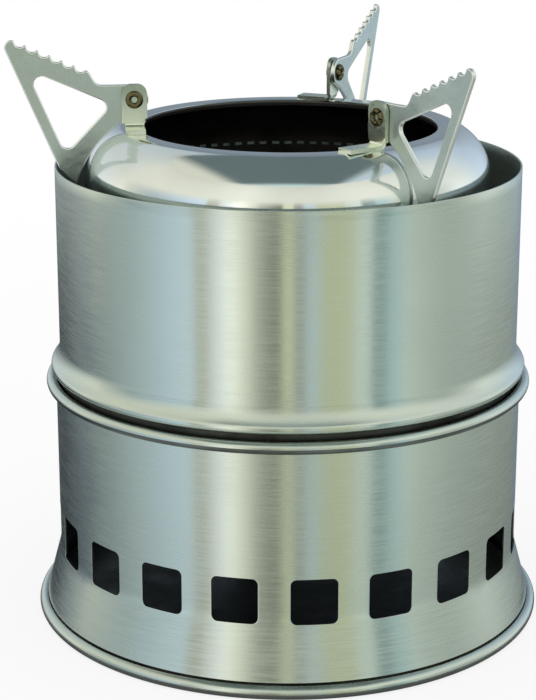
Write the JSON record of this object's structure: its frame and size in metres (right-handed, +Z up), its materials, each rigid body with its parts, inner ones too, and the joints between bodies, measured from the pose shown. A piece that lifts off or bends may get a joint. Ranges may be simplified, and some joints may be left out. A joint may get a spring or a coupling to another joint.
{
  "type": "twig stove",
  "caption": "Round sheet-steel camping stove for twigs: windowed base, double-walled body with a domed fire chamber and folding serrated pot arms round its mouth.",
  "frame": {"origin": "centre of the ring that the stove stands on, on the ground", "axes": "+Z up along the stove's axis, -Y towards the front, +X to the right as seen from the front"},
  "size_m": [0.1375, 0.134, 0.1517],
  "materials": {
    "brushed_shell": "brushed",
    "polished_chamber": "polished",
    "inner_steel": "satin",
    "arm_steel": "satin",
    "bracket_steel": "satin",
    "rivet_brass": "satin"
  },
  "bodies": {
    "base": {"base_shell": "brushed_shell", "base_floor": "inner_steel"},
    "body": {"body_shell": "brushed_shell", "support_ring": "inner_steel"},
    "chamber": {"fire_chamber": "polished_chamber", "bracket_left": "bracket_steel", "bracket_right": "bracket_steel", "bracket_back": "bracket_steel", "rivet_left": "rivet_brass", "rivet_right": "rivet_brass", "rivet_back": "rivet_brass"},
    "grate": {"grate": "inner_steel"},
    "arm_left": {"arm_left": "arm_steel"},
    "arm_right": {"arm_right": "arm_steel"},
    "arm_back": {"arm_back": "arm_steel"}
  },
  "joints": [
    {"name": "body_lift", "type": "slide", "parent": "base", "child": "body", "axis": [0, 0, 1], "range_m": [0, 0.07]},
    {"name": "chamber_lift", "type": "slide", "parent": "body", "child": "chamber", "axis": [0, 0, 1], "range_m": [0, 0.075]},
    {"name": "grate_lift", "type": "slide", "parent": "body", "child": "grate", "axis": [0, 0, 1], "range_m": [0, 0.038]},
    {"name": "arm_left_fold", "type": "hinge", "parent": "chamber", "child": "arm_left", "pos_m": [-0.0388, -0.00713, 0.1366], "axis": [-0.1305, 0.9914, 0], "range_deg": [0, 222]},
    {"name": "arm_right_fold", "type": "hinge", "parent": "chamber", "child": "arm_right", "pos_m": [0.0224, -0.03248, 0.1366], "axis": [-0.7934, -0.6088, 0], "range_deg": [0, 222]},
    {"name": "arm_back_fold", "type": "hinge", "parent": "chamber", "child": "arm_back", "pos_m": [0.01323, 0.03717, 0.1366], "axis": [0.9239, -0.3827, 0], "range_deg": [0, 222]}
  ]
}
